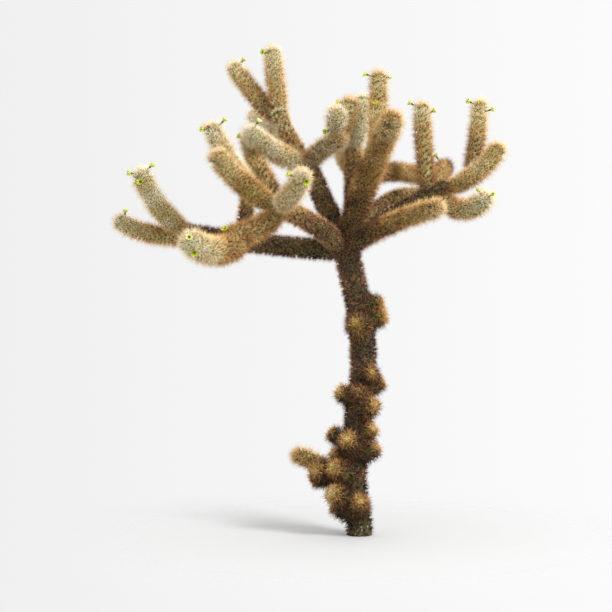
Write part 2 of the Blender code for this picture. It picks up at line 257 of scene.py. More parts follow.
TRUNK = Limb("trunk", "", 0.0, (TRUNK_TOP[1], 0.0, TRUNK_TOP[0]), 0, 0.105, 0.88, 0.70, Kind.TRUNK, 1.0, 1.0)
LEFT_SIDE = (
    bough("left_bough", "trunk", 0.97, (-0.670, 0.145, 1.120), 8, 0.090, 0.79, 0.68),
    arm("left_up_arm", "left_bough", 0.95, (-0.810, 0.050, 1.340), 45, 0.088, 0.32, 0.02,
        Flower((-0.850, 0.035, 1.330)), Flower((-0.765, 0.040, 1.360)), Flower((-0.805, 0.000, 1.295))),
    arm("left_tip_arm", "left_bough", 0.90, (-0.915, 0.215, 1.165), 40, 0.082, 0.46, 0.10,
        Flower((-0.885, 0.195, 1.200))),
    bough("left_riser", "left_bough", 0.60, (-0.410, 0.100, 1.280), -15, 0.076, 0.78, 0.08),
    arm("left_back_arm", "left_bough", 0.55, (-0.405, 0.430, 1.170), 20, 0.078, 0.32, 0.14,
        Flower((-0.370, 0.430, 1.200))),
)
FRONT_SIDE = (
    bough("front_bough", "trunk", 0.96, (-0.315, -0.230, 1.190), -30, 0.088, 0.72, 0.42),
    arm("gold_up_arm", "front_bough", 0.90, (-0.515, -0.225, 1.375), 30, 0.088, 0.54, 0.26),
    arm("gold_side_arm", "gold_up_arm", 0.30, (-0.540, -0.080, 1.490), 20, 0.080, 0.22, 0.08,
        Flower((-0.570, -0.110, 1.475)), Flower((-0.490, -0.100, 1.510))),
    arm("inner_up_arm", "front_bough", 0.90, (-0.410, 0.020, 1.465), 25, 0.084, 0.76, 0.02,
        Flower((-0.440, -0.020, 1.460))),
    arm("front_low_arm", "front_bough", 0.90, (-0.455, -0.400, 1.080), 45, 0.092, 0.52, 0.52,
        Flower((-0.470, -0.415, 1.100))),
    arm("front_curl_arm", "front_low_arm", 0.70, (-0.580, -0.620, 1.055), 65, 0.104, 0.66, 0.06,
        Flower((-0.570, -0.670, 1.060), True), Flower((-0.555, -0.645, 1.010))),
    arm("front_hook_arm", "front_bough", 0.95, (-0.205, -0.420, 1.285), 35, 0.086, 0.28, 0.08,
        Flower((-0.255, -0.410, 1.285)), Flower((-0.195, -0.455, 1.255))),
)
MIDDLE = (
    bough("mid_bough", "trunk", 0.98, (-0.205, 0.150, 1.410), 5, 0.090, 0.86, 0.60),
    arm("mid_left_arm", "mid_bough", 0.90, (-0.405, -0.100, 1.470), 30, 0.086, 0.32, 0.03,
        Flower((-0.365, -0.105, 1.505), True)),
    bough("mid_rise", "mid_bough", 0.90, (-0.300, 0.195, 1.585), 30, 0.082, 0.42, 0.16),
    arm("crown_top_arm", "mid_rise", 0.90, (-0.325, 0.225, 1.820), 5, 0.082, 0.34, 0.12,
        Flower((-0.360, 0.190, 1.805))),
    arm("crown_left_arm", "mid_rise", 0.80, (-0.480, 0.335, 1.775), 15, 0.080, 0.68, 0.14,
        Flower((-0.440, 0.325, 1.800))),
    arm("mid_back_arm", "mid_rise", 0.55, (-0.405, 0.460, 1.600), 20, 0.076, 0.06, 0.10,
        Flower((-0.395, 0.425, 1.625))),
    bough("mid_right", "mid_bough", 0.90, (-0.060, -0.005, 1.450), -35, 0.082, 0.20, 0.22, Kind.ARM),
    arm("knot_left_arm", "mid_right", 0.80, (-0.085, -0.060, 1.550), -35, 0.086, 0.12, 0.06,
        Flower((-0.125, -0.030, 1.475))),
    arm("knot_mid_arm", "mid_right", 0.85, (-0.035, 0.020, 1.595), 15, 0.084, 0.50, 0.26,
        Flower((-0.080, 0.010, 1.590))),
)
RIGHT_SIDE = (
    bough("thick_bough", "trunk", 0.98, (0.115, -0.250, 1.505), -20, 0.104, 0.76, 0.28, Kind.ARM),
    bough("back_bough", "thick_bough", 0.25, (-0.020, 0.165, 1.445), -40, 0.090, 0.84, 0.12),
    arm("knot_right_arm", "back_bough", 0.80, (0.025, 0.200, 1.625), -25, 0.092, 0.04, 0.04),
    arm("back_arm", "back_bough", 0.60, (-0.055, 0.430, 1.475), 15, 0.080, 0.42, 0.08,
        Flower((-0.100, 0.440, 1.490)), Flower((-0.020, 0.430, 1.515))),
    arm("thick_up_arm", "thick_bough", 0.70, (0.070, 0.000, 1.690), 45, 0.076, 0.42, 0.24,
        Flower((0.020, -0.005, 1.690)), Flower((0.110, 0.000, 1.680), True),
        Flower((0.055, -0.055, 1.575))),
    bough("gold_right_bough", "trunk", 0.98, (0.260, -0.380, 1.175), -15, 0.082, 0.82, 0.26, Kind.ARM),
    bough("right_bough", "trunk", 0.98, (0.335, 0.030, 1.280), -15, 0.080, 0.98, 0.76),
    arm("right_end_arm", "right_bough", 0.95, (0.515, 0.010, 1.425), 45, 0.084, 0.40, 0.26),
    arm("right_up_arm", "right_end_arm", 0.40, (0.460, 0.150, 1.605), 30, 0.074, 0.68, 0.18,
        Flower((0.415, 0.135, 1.610)), Flower((0.505, 0.135, 1.580))),
    arm("right_post_arm", "right_bough", 0.80, (0.240, 0.150, 1.595), 10, 0.076, 0.68, 0.18,
        Flower((0.195, 0.140, 1.605)), Flower((0.285, 0.135, 1.575))),
    arm("right_spur_arm", "right_bough", 0.90, (0.340, 0.250, 1.375), -40, 0.070, 0.36, 0.60,
        Flower((0.345, 0.180, 1.365)), Flower((0.300, 0.225, 1.415))),
    arm("right_hook_arm", "right_bough", 0.90, (0.450, -0.145, 1.230), 105, 0.084, 0.66, 0.12,
        Flower((0.425, -0.115, 1.255)), Flower((0.465, -0.190, 1.235), True)),
    bough("rear_bough", "trunk", 0.96, (0.285, 0.360, 1.265), -70, 0.072, 0.62, 0.30),
    arm("rear_arm", "back_bough", 0.40, (0.275, 0.460, 1.350), -25, 0.078, 0.64, 0.32),
    arm("rear_low_arm", "rear_bough", 0.70, (0.190, 0.580, 1.260), 15, 0.074, 0.24, 0.12,
        Flower((0.225, 0.580, 1.295))),
)
YOUNG_JOINTS = (
    young("top_right", 0.78, (0.085, -0.015, 0.845), 0.080),
    young("upper_right", 0.73, (0.095, -0.030, 0.805), 0.082),
    young("upper_front", 0.70, (-0.020, -0.085, 0.785), 0.086),
    young("middle_front", 0.54, (0.045, -0.080, 0.600), 0.070, 0.42),
    young("middle_right", 0.49, (0.085, -0.010, 0.565), 0.074),
    young("centre_front", 0.47, (-0.010, -0.080, 0.535), 0.070, 0.58),
    young("middle_left", 0.45, (-0.080, -0.030, 0.530), 0.074),
    young("centre_right", 0.42, (0.055, -0.070, 0.485), 0.078),
    young("low_left", 0.30, (-0.110, 0.010, 0.375), 0.072),
    young("low_front", 0.30, (-0.050, -0.095, 0.360), 0.086, 0.46),
    young("low_right", 0.32, (0.050, -0.050, 0.395), 0.076),
    young("under_right", 0.26, (0.065, -0.035, 0.325), 0.074),
    young("under_left", 0.24, (-0.100, -0.035, 0.305), 0.072),
    young("base_left", 0.19, (-0.105, -0.085, 0.260), 0.080, 0.42),
    bough("low_spur", "trunk", 0.12, (-0.235, 0.000, 0.295), -40, 0.080, 0.50, 0.34, Kind.ARM),
    young("foot_left", 0.11, (-0.110, -0.085, 0.165), 0.084, 0.42),
    young("foot_side", 0.07, (-0.100, -0.015, 0.110), 0.078),
    young("foot_front", 0.08, (0.000, -0.090, 0.135), 0.080),
    young("back_high", 0.60, (0.000, 0.080, 0.685), 0.074),
    young("back_middle", 0.37, (0.025, 0.085, 0.430), 0.076),
    young("back_low", 0.16, (-0.045, 0.085, 0.205), 0.078),
    young("spur_front", 0.55, (-0.165, -0.070, 0.245), 0.070, parent="low_spur"),
    young("spur_low", 0.45, (-0.175, 0.015, 0.195), 0.076, parent="low_spur"),
)


def heading(azimuth: float, elevation: float) -> np.ndarray:
    """Return the unit vector for an azimuth and an elevation in degrees."""
    a = math.radians(azimuth)
    e = math.radians(elevation)
    return np.array((math.cos(e) * math.cos(a), math.cos(e) * math.sin(a), math.sin(e)))


def trunk_line() -> np.ndarray:
    """Return the trunk's centreline: a smooth curve through its few bends, upright at the foot."""
    knots = [np.array((x, 0.0, z)) for z, x in TRUNK_BENDS + ((TRUNK_TOP[0], TRUNK_TOP[1]),)]
    ends = [np.array((0.0, 0.0, -knots[1][2]))] + knots + [2 * knots[-1] - knots[-2]]
    line = []
    for i in range(STEPS + 1):
        z = TRUNK_TOP[0] * i / STEPS
        k = max(n for n in range(len(knots) - 1) if knots[n][2] <= z + HAIR)
        share = (z - knots[k][2]) / (knots[k + 1][2] - knots[k][2])
        a, b, c, d = (knot[0] for knot in ends[k:k + 4])
        x = 0.5 * (2 * b + (c - a) * share + (2 * a - 5 * b + 4 * c - d) * share ** 2
                   + (3 * b - a - 3 * c + d) * share ** 3)
        line.append((x, 0.0, z))
    line[1] = (line[0][0], 0.0, line[1][2])
    return np.array(line)


def point_on(line: np.ndarray, share: float) -> np.ndarray:
    """Return the point at a share of the way along a centreline."""
    place = min(max(share, 0.0), 1.0) * (len(line) - 1)
    i = min(int(place), len(line) - 2)
    return line[i] + (line[i + 1] - line[i]) * (place - i)


def way_to(start: np.ndarray, tip: np.ndarray, curl: float) -> np.ndarray:
    """Return the centreline from a start to a tip: an arc that bends upwards by its curl."""
    way = tip - start
    azimuth = math.degrees(math.atan2(way[1], way[0]))
    slope = math.degrees(math.atan2(way[2], math.hypot(way[0], way[1])))
    steps = np.array([heading(azimuth, slope + curl * ((i + 0.5) / STEPS - 0.5)) for i in range(STEPS)])
    stride = np.linalg.norm(way) / np.linalg.norm(steps.sum(axis=0))
    return np.vstack((start, start + np.cumsum(steps * stride, axis=0)))


def lay_out(limbs: tuple[Limb, ...]) -> tuple[tuple[Limb, ...], dict[str, np.ndarray]]:
    """Work out how every limb runs, each one starting on its parent's centreline.

    Args:
        limbs: the trunk, then the limbs, each one after its parent.

    Returns:
        The limbs with their lengths, and their centrelines by name.
    """
    placed = [replace(limbs[0], length=TRUNK_TOP[0])]
    lines = {limbs[0].name: trunk_line()}
    for limb in limbs[1:]:
        line = way_to(point_on(lines[limb.parent], limb.at), np.array(limb.tip), limb.curl)
        lines[limb.name] = line
        placed.append(replace(limb, length=float(np.linalg.norm(line[1] - line[0])) * STEPS))
    return tuple(placed), lines


LIMBS, CENTRELINES = lay_out((TRUNK,) + LEFT_SIDE + FRONT_SIDE + MIDDLE + RIGHT_SIDE + YOUNG_JOINTS)


def unit(rows: np.ndarray) -> np.ndarray:
    """Return the rows of an array scaled to length one."""
    return rows / np.linalg.norm(rows, axis=-1, keepdims=True)


def mesh_object(name: str, points: np.ndarray, faces: np.ndarray) -> bpy.types.Object:
    """Make a smooth-shaded mesh object.

    Args:
        name: the piece's name.
        points: an array of corners, three numbers a row.
        faces: an array of triangles, three corner numbers a row.

    Returns:
        The new object, linked to the scene.
    """
    mesh = bpy.data.meshes.new(name)
    mesh.vertices.add(len(points))
    mesh.vertices.foreach_set("co", points.astype(np.float32).ravel())
    mesh.loops.add(faces.size)
    mesh.loops.foreach_set("vertex_index", faces.astype(np.int32).ravel())
    mesh.polygons.add(len(faces))
    mesh.polygons.foreach_set("loop_start", np.arange(0, faces.size, 3, dtype=np.int32))
    mesh.update(calc_edges=True)
    mesh.shade_smooth()
    piece = bpy.data.objects.new(name, mesh)
    bpy.context.scene.collection.objects.link(piece)
    return piece


def dress(piece: bpy.types.Object, material: bpy.types.Material, slot: str, *nodes: str) -> None:
    """Give a piece its material, let it ride on the plant, and report it.

    Args:
        piece: the finished object.
        material: its material.
        slot: the record's material slot that it takes its finish from; not used.
        nodes: the solids that it stands for, if any.
    """
    piece.data.materials.append(material)
    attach(piece, BODY)
    if nodes:
        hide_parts(*nodes)
    LOG.info("%s: %d triangles", piece.name, len(piece.data.polygons))


def tube_faces(rows: int, sides: int) -> np.ndarray:
    """Return the triangles of a closed tube, all facing out.

    Args:
        rows: number of rings, whose corners come first, ring by ring.
        sides: corners in each ring.  The middles of foot and tip are the last two corners.

    Returns:
        The triangles, three corner numbers a row.
    """
    ring, side = np.meshgrid(np.arange(rows), np.arange(sides), indexing="ij")
    corner = ring * sides + side
    after = ring * sides + (side + 1) % sides
    low, low_next = corner[:-1].ravel(), after[:-1].ravel()
    high, high_next = corner[1:].ravel(), after[1:].ravel()
    foot = np.full(sides, rows * sides)
    triangles = ((low, low_next, high_next), (low, high_next, high),
                 (after[0], corner[0], foot), (corner[-1], after[-1], foot + 1))
    return np.vstack([np.stack(corners, axis=1) for corners in triangles])


@dataclass
class Rows:
    """Arrays of one length, with a row for each ring, areole or spine that they describe."""

    def picked(self, which: np.ndarray) -> "Rows":
        """Return only those rows that a mask or a list of numbers names."""
        return type(self)(*(getattr(self, item.name)[which] for item in fields(self)))


@dataclass
class Rings(Rows):
    """Cross-sections along a limb.

    Attributes:
        centre: centres of the rings.
        ahead: unit vectors along the limb.
        side: unit vectors across it.
        rise: unit vectors across it, square to side.
        radius: radii of the rings.
        tilt: angle by which the surface faces the tip, zero except on the dome.
        swell: height of the tubercles there.
    """

    centre: np.ndarray
    ahead: np.ndarray
    side: np.ndarray
    rise: np.ndarray
    radius: np.ndarray
    tilt: np.ndarray
    swell: np.ndarray

    def at(self, ring: np.ndarray) -> "Rings":
        """Return the cross-sections at ring numbers that may lie between two rings."""
        low = np.minimum(ring.astype(int), len(self.radius) - 2)
        share = ring - low
        rows = []
        for item in fields(self):
            values = getattr(self, item.name)
            part = share if values.ndim == 1 else share[..., None]
            rows.append(values[low] * (1 - part) + values[low + 1] * part)
        return Rings(*rows)


@dataclass
class Areoles(Rows):
    """Places where spines grow.

    Attributes:
        place: the areoles' places.
        normal: unit vectors out of the flesh.
        ahead: unit vectors along the limb.
        share: share of the limb's length.
        dome: 0 on the limb's side, rising to 1 at the tip.
    """

    place: np.ndarray
    normal: np.ndarray
    ahead: np.ndarray
    share: np.ndarray
    dome: np.ndarray


class Skeleton:
    """A tree of close samples of all centrelines, which tells where flesh already is."""

    SAMPLE_GAP = 0.008

    def __init__(self) -> None:
        """Sample every centreline."""
        self.samples = []
        for index, limb in enumerate(LIMBS):
            for run in np.arange(0.0, limb.length, self.SAMPLE_GAP):
                place = point_on(CENTRELINES[limb.name], run / limb.length)
                self.samples.append((place, index, flesh_radius(limb, run)))
        self.tree = KDTree(len(self.samples))
        for i, sample in enumerate(self.samples):
            self.tree.insert(sample[0], i)
        self.tree.balance()

    def buried(self, place: np.ndarray, own: int, margin: float) -> bool:
        """Tell whether a point lies inside the flesh of a limb other than its own.

        Args:
            place: the point.
            own: number of the limb that the point belongs to.
            margin: how far inside the flesh a point has to lie to count.

        Returns:
            True where the point is hidden.
        """
        for _, i, distance in self.tree.find_range(Vector(place), TRUNK.width / 2):
            _, other, radius = self.samples[i]
            if other != own and distance < radius - margin:
                return True
        return False


def flesh_radius(limb: Limb, run: float) -> float:
    """Return the radius of a limb's flesh at a distance along it, tip rounding left out."""
    full = limb.width / 2 - COATS[limb.kind].depth
    taper = 1 - (1 - limb.taper) * run / limb.length
    if limb.kind is Kind.TRUNK:
        flare = max(0.0, 1 - run / ROOT_FLARE_HEIGHT)
        return full * taper + ROOT_FLARE * flare ** 2
    grown = min(max((run - NECK_START) / (NECK_END - NECK_START), 0.0), 1.0)
    return full * taper * (limb.neck + (1 - limb.neck) * grown)


@dataclass
class Flesh:
    """The green body of one limb, with a tubercle under each areole.

    Attributes:
        limb: the limb that this is the body of.
        skeleton: the centrelines.
        start: distance from the parent's centreline at which the body begins.
        least_around: the fewest areoles in one row.
        dome_rows: rows of areoles from the shoulder to the tip.
        dome_crowding: how much closer together the areoles on the dome stand.
        dome_least: the fewest areoles in one round of the dome.
        point: how far the very tip stands out, as a share of the last ring's radius.
        fresh_from: share of the dome at which a young joint's fresh green starts.
        fresh_over: share of the dome over which it comes in.
        areole_shift: how far areoles stray from their rows.
        ground_gap: height under which nothing grows.
    """

    limb: Limb
    skeleton: Skeleton
    start: float = 0.012
    least_around: int = 7
    dome_rows: int = 3
    dome_crowding: float = 1.30
    dome_least: int = 4
    point: float = 0.12
    fresh_from: float = 0.35
    fresh_over: float = 0.40
    areole_shift: float = 0.0025
    ground_gap: float = 0.004

    @property
    def coat(self) -> Coat:
        """The coat of this kind of limb."""
        return COATS[self.limb.kind]

    def around(self) -> int:
        """Return the number of areoles in one row."""
        girth = FULL_TURN * flesh_radius(self.limb, self.limb.length / 2)
        return max(self.least_around, round(girth / self.coat.pitch))

    def rings(self) -> Rings:
        """Lay rings along the limb, a few to each row of areoles, and over its domed tip."""
        limb = self.limb
        first = 0.0 if limb.kind is Kind.TRUNK else self.start
        cap = flesh_radius(limb, limb.length)
        body = limb.length - cap - first
        count = self.coat.fineness * max(2, round(body / self.coat.pitch))
        runs = [first + body * i / count for i in range(count)]
        tilts = [0.0] * count
        radii = [flesh_radius(limb, run) for run in runs]
        dome_rings = self.dome_rows * self.coat.fineness + 1
        for i in range(dome_rings):
            tilt = math.pi / 2 * i / dome_rings
            runs.append(limb.length - cap + cap * math.sin(tilt))
            tilts.append(tilt)
            radii.append(cap * math.cos(tilt))
        centre = np.array([point_on(CENTRELINES[limb.name], run / limb.length) for run in runs])
        ahead = unit(np.gradient(centre, axis=0))
        if limb.kind is Kind.TRUNK:
            ahead[0] = UP
        side = np.zeros_like(ahead)
        across = np.cross(ahead[0], (0.0, 1.0, 0.0) if abs(ahead[0][1]) < DEEP else (1.0, 0.0, 0.0))
        for i, way in enumerate(ahead):
            across = across - way * np.dot(across, way)
            across = across / np.linalg.norm(across)
            side[i] = across
        swell = self.coat.tubercle * np.sqrt(np.cos(tilts))
        return Rings(centre, ahead, side, np.cross(ahead, side), np.array(radii), np.array(tilts), swell)

    @staticmethod
    def surface(rings: Rings, turn: np.ndarray) -> tuple[np.ndarray, np.ndarray]:
        """Return points on the smooth body and the normals there.

        Args:
            rings: the cross-sections, one for each point.
            turn: angles round them, in radians.

        Returns:
            The points and the unit normals, one row each.
        """
        out = rings.side * np.cos(turn)[..., None] + rings.rise * np.sin(turn)[..., None]
        tilt = rings.tilt[..., None]
        normal = out * np.cos(tilt) + rings.ahead * np.sin(tilt)
        return rings.centre + out * rings.radius[..., None], unit(normal)

    def tip(self, rings: Rings) -> np.ndarray:
        """Return the limb's outermost point."""
        return rings.centre[-1] + rings.ahead[-1] * (rings.radius[-1] * self.point)

    @staticmethod
    def store(piece: bpy.types.Object, name: str, values: np.ndarray) -> None:
        """Store a value for each corner of the rings, then 0 for the foot's middle and 1 for the tip."""
        layer = piece.data.attributes.new(name, "FLOAT", "POINT")
        layer.data.foreach_set("value", np.append(values, (0.0, 1.0)).astype(np.float32))

    def build(self, rings: Rings) -> bpy.types.Object:
        """Make the closed mesh of the body and store how high each corner stands on its tubercle, which the
        skins also use to paint shade in the hollows and highlight on the tubercles.
        """
        fineness = self.coat.fineness
        segments = fineness * self.around()
        total = len(rings.radius)
        ring, segment = np.meshgrid(np.arange(total), np.arange(segments), indexing="ij")
        place, normal = self.surface(rings.at(ring), segment * (FULL_TURN / segments))
        row = ring / fineness + SPIRAL_ROWS * segment / segments
        height = 0.5 + 0.5 * np.cos(FULL_TURN * segment / fineness) * np.cos(math.pi * row)
        grid = place + normal * (height * rings.swell[:, None])[..., None]
        points = np.vstack((grid.reshape(-1, 3), rings.centre[0], self.tip(rings)))
        piece = mesh_object(self.limb.name + "_flesh", points, tube_faces(total, segments))
        self.store(piece, "raised", height.ravel())
        if self.limb.kind is Kind.YOUNG:
            dome = np.clip((rings.tilt / (math.pi / 2) - self.fresh_from) / self.fresh_over, 0.0, 1.0)
            self.store(piece, "fresh", np.repeat(dome, segments))
        return piece

    def seats(self, rings: Rings) -> tuple[np.ndarray, np.ndarray]:
        """Return the areoles' ring numbers and turns: staggered spiral rows, then rounds on the dome."""
        fineness = self.coat.fineness
        count = self.around()
        shoulder = len(rings.radius) - self.dome_rows * fineness - 1
        chosen, turns = [], []
        for row in range(shoulder // fineness + SPIRAL_ROWS + 1):
            for i in range(count):
                share = (i + 0.5 * (row % 2)) / count
                ring = (row - SPIRAL_ROWS * share) * fineness
                if 0 <= ring <= shoulder:
                    chosen.append(ring)
                    turns.append(FULL_TURN * share)
        for ring in range(shoulder + fineness, len(rings.radius), fineness):
            number = max(self.dome_least, round(count * math.cos(rings.tilt[ring]) * self.dome_crowding))
            chosen += [ring] * number
            turns += [FULL_TURN * (i + 0.5) / number for i in range(number)]
        return np.array(chosen, dtype=float), np.array(turns)

    def areoles(self, rings: Rings, rng: np.random.Generator) -> Areoles:
        """Find the places of all areoles, leaving out those inside another limb or the ground.

        Args:
            rings: the limb's rings.
            rng: the seeded source of small shifts.

        Returns:
            The areoles.
        """
        ring, turn = self.seats(rings)
        there = rings.at(ring)
        place, normal = self.surface(there, turn)
        place = place + normal * there.swell[:, None]
        across = np.cross(there.ahead, normal)
        shift = rng.normal(0.0, self.areole_shift, (len(ring), 2))
        place = place + across * shift[:, :1] + np.cross(normal, across) * shift[:, 1:]
        found = Areoles(
            np.vstack((place, self.tip(rings))),
            np.vstack((normal, rings.ahead[-1])),
            np.vstack((unit(there.ahead), rings.side[-1])),
            np.append(ring / (len(rings.radius) - 1), 1.0),
            np.append(there.tilt / (math.pi / 2), 1.0))
        own = LIMBS.index(self.limb)
        return found.picked(np.array([spot[2] > self.ground_gap and not self.skeleton.buried(spot, own, 0.0)
                                      for spot in found.place]))


@dataclass
class Spines(Rows):
    """Spines gathered from areoles: their roots, directions, reaches, widths and tones."""

    root: np.ndarray
    way: np.ndarray
    reach: np.ndarray
    width: np.ndarray
    tone: np.ndarray

    @staticmethod
    def joined(parts: list["Spines"]) -> "Spines":
        """Return the spines of all parts in one."""
        return Spines(*(np.concatenate([getattr(part, item.name) for part in parts])
                        for item in fields(Spines)))


@dataclass
class SpineCoat:
    """All spines of the plant, dealt out by tint into joined pieces.

    Attributes:
        skeleton: the centrelines.
        rng: the seeded source of small differences.
        sunk: how deep a root sits under the surface.
        areole_spread: how far the tone differs from areole to areole.
        spine_spread: how far it differs from spine to spine.
        patch_spread: how far it drifts from patch to patch.
        bare_height: height under which the trunk has lost some of its stars.
        bare_share: share of the stars that it keeps at the ground.
        patch_waves: number of waves that make the patches.
        patch_lengths: the shortest and the longest of them.
        stray: how far a spine strays from its even place round the areole, for the step to the next.
        girths: the thinnest and the thickest spine, for its star's width.
        step_out: distance from the areole's middle to a root, for its star's width.
        reach_skew: how much commoner short spines are than long ones.
        ease: share of the tone's change that is eased in and out.
        ground_gap: height under which no spine's tip may reach.
        flesh_gap: how deep a tip has to lie in another limb for its spine to be left out.
        roughness: roughness of a spine.
        most: the most spines in one piece.
        baskets: the spines of each tint, limb by limb.
    """

    skeleton: Skeleton
    rng: np.random.Generator
    sunk: float = 0.0008
    areole_spread: float = 0.045
    spine_spread: float = 0.090
    patch_spread: float = 0.055
    bare_height: float = 0.30
    bare_share: float = 0.60
    patch_waves: int = 7
    patch_lengths: tuple[float, float] = (0.05, 0.16)
    stray: float = 0.35
    girths: tuple[float, float] = (0.75, 1.25)
    step_out: float = 0.6
    reach_skew: float = 1.3
    ease: float = 0.65
    ground_gap: float = 0.002
    flesh_gap: float = 0.004
    roughness: float = 0.55
    most: int = 48000
    baskets: dict[Tint, list[Spines]] = field(default_factory=lambda: {tint: [] for tint in Tint})

    SLOTS = {
        Tint.CREAM: "pale_arms", Tint.PALE_STRAW: "pale_arms", Tint.STRAW: "pale_arms",
        Tint.HONEY: "golden_arms", Tint.GOLD: "golden_arms", Tint.TAN: "young_joints",
        Tint.RUSSET: "young_joints", Tint.UMBER: "young_joints",
        Tint.ROSE: "old_boughs", Tint.MAUVE: "old_boughs", Tint.PLUM: "old_boughs",
        Tint.DARK_BROWN: "trunk_bark", Tint.BLACK: "trunk_bark"}

    def __post_init__(self) -> None:
        """Draw the directions and phases of the waves that make the patches."""
        ways = unit(self.rng.normal(size=(self.patch_waves, 3)))
        lengths = self.rng.uniform(*self.patch_lengths, self.patch_waves)
        self.waves = ways * (FULL_TURN / lengths)[:, None]
        self.phases = self.rng.uniform(0, FULL_TURN, self.patch_waves)

    def patches(self, place: np.ndarray) -> np.ndarray:
        """Return a smooth drift of tone at each place, about -1 to 1."""
        return np.sin(place @ self.waves.T + self.phases).sum(axis=1) * math.sqrt(2 / self.patch_waves)

    def star(self, areoles: Areoles, star: Star, coat: Coat, tone: np.ndarray) -> Spines:
        """Grow the same number of spines from each areole, spread evenly round its normal.

        Args:
            areoles: the areoles of one limb.
            star: the round of spines.
            coat: the coat that it belongs to.
            tone: tone of each areole.

        Returns:
            The spines.
        """
        count = star.count
        every = (len(areoles.place), count)
        turn = self.rng.uniform(0, FULL_TURN, (every[0], 1)) + (
            np.arange(count) + self.rng.uniform(-self.stray, self.stray, every)) * (FULL_TURN / count)
        angle = np.radians(self.rng.uniform(*star.lean, every))
        across = unit(np.cross(areoles.normal, areoles.ahead))
        along = np.cross(across, areoles.normal)
        flat = along[:, None] * np.cos(turn)[..., None] + across[:, None] * np.sin(turn)[..., None]
        forward = coat.forward * (1 - areoles.dome) - coat.spread * areoles.dome
        way = (areoles.normal[:, None] * np.cos(angle)[..., None] + flat * np.sin(angle)[..., None]
               + areoles.ahead[:, None] * forward[:, None, None])
        root = np.repeat((areoles.place - areoles.normal * self.sunk)[:, None], count, axis=1)
        root = root + flat * (self.step_out * star.width)
        long = self.rng.uniform(0.0, 1.0, every) ** self.reach_skew
        lengths = star.reach[0] + (star.reach[1] - star.reach[0]) * long
        lengths = lengths * (1 + coat.tuft * areoles.dome)[:, None]
        tones = tone[:, None] + star.shade + self.rng.normal(0.0, self.spine_spread, every)
        width = star.width * self.rng.uniform(*self.girths, every)
        return Spines(root.reshape(-1, 3), unit(way.reshape(-1, 3)), lengths.ravel(), width.ravel(),
                      tones.ravel())

    def thinned(self, areoles: Areoles) -> Areoles:
        """Leave out some stars low on the trunk, where the flesh shows."""
        keep = self.bare_share + (1 - self.bare_share) * areoles.place[:, 2] / self.bare_height
        return areoles.picked(self.rng.uniform(size=len(keep)) < keep)

    def grow(self, limb: Limb, areoles: Areoles) -> None:
        """Clothe one limb: radial and central spines on each areole, paler towards the tip.

        Args:
            limb: the limb.
            areoles: its areoles.
        """
        coat = COATS[limb.kind]
        if limb.kind is Kind.TRUNK:
            areoles = self.thinned(areoles)
        share = np.clip((areoles.share - coat.tone_start) / (1 - coat.tone_start), 0.0, 1.0)
        eased = share * share * (3 - 2 * share)
        tone = limb.old + (limb.new - limb.old) * ((1 - self.ease) * share + self.ease * eased)
        tone = tone + self.patch_spread * self.patches(areoles.place)
        tone = tone + self.rng.normal(0.0, self.areole_spread, len(tone))
        stars = (coat.radials, coat.centrals)
        spines = Spines.joined([self.star(areoles, star, coat, tone) for star in stars])
        own = LIMBS.index(limb)
        tips = spines.root + spines.way * spines.reach[:, None]
        kept = np.array([tip[2] > self.ground_gap and not self.skeleton.buried(tip, own, self.flesh_gap)
                         for tip in tips])
        dealt = np.clip((spines.tone * len(coat.ramp)).astype(int), 0, len(coat.ramp) - 1)
        for number, tint in enumerate(coat.ramp):
            self.baskets[tint].append(spines.picked(kept & (dealt == number)))

    @staticmethod
    def needles(name: str, spines: Spines) -> bpy.types.Object:
        """Make one joined mesh of closed three-sided needles."""
        helper = np.where(np.abs(spines.way[:, 2:3]) < STEEP, UP, (1.0, 0.0, 0.0))
        side = unit(np.cross(spines.way, helper))
        rise = np.cross(spines.way, side)
        corners = []
        for turn in (0.0, FULL_TURN / 3, FULL_TURN * 2 / 3):
            out = side * math.cos(turn) + rise * math.sin(turn)
            corners.append(spines.root + out * (spines.width / 2)[:, None])
        corners.append(spines.root + spines.way * spines.reach[:, None])
        points = np.stack(corners, axis=1).reshape(-1, 3)
        shape = np.array(((0, 1, 3), (1, 2, 3), (2, 0, 3), (0, 2, 1)))
        faces = (np.arange(len(spines.root))[:, None, None] * len(corners) + shape).reshape(-1, 3)
        return mesh_object(name, points, faces)

    def build(self) -> None:
        """Make the joined pieces, a few to each tint."""
        for tint, basket in self.baskets.items():
            every = Spines.joined(basket)
            total = len(every.root)
            material = plain_material("spine_" + tint.name.lower(), tint.value, self.roughness)
            groups = np.array_split(np.arange(total), max(1, math.ceil(total / self.most)))
            for part, group in enumerate(groups, 1):
                piece = self.needles(f"spines_{tint.name.lower()}_{part}", every.picked(group))
                dress(piece, material, self.SLOTS[tint])


def add_node(tree: bpy.types.NodeTree, kind: str, values: dict[str | int, Any] | None = None,
             **settings: Any) -> bpy.types.Node:
    """Add a shader node to a tree.

    Args:
        tree: the tree.
        kind: the node's type, without the words ShaderNode.
        values: what its inputs are set to, by name or number.
        settings: what its own properties are set to.

    Returns:
        The node.
    """
    node = tree.nodes.new("ShaderNode" + kind)
    for name, value in settings.items():
        setattr(node, name, value)
    for name, value in (values or {}).items():
        node.inputs[name].default_value = value
    return node


def link(tree: bpy.types.NodeTree, *wires: tuple) -> None:
    """Join nodes, each wire given as a node, its output, the next node and its input."""
    for source, output, target, entry in wires:
        tree.links.new(source.outputs[output], target.inputs[entry])


def plain_material(name: str, colour: Vec, roughness: float) -> bpy.types.Material:
    """Make a material of one plain colour."""
    material = bpy.data.materials.new(name)
    material.use_nodes = True
    shader = material.node_tree.nodes["Principled BSDF"]
    shader.inputs["Base Color"].default_value = (*colour, 1.0)
    shader.inputs["Roughness"].default_value = roughness
    shader.inputs["Specular IOR Level"].default_value = DULLNESS
    return material


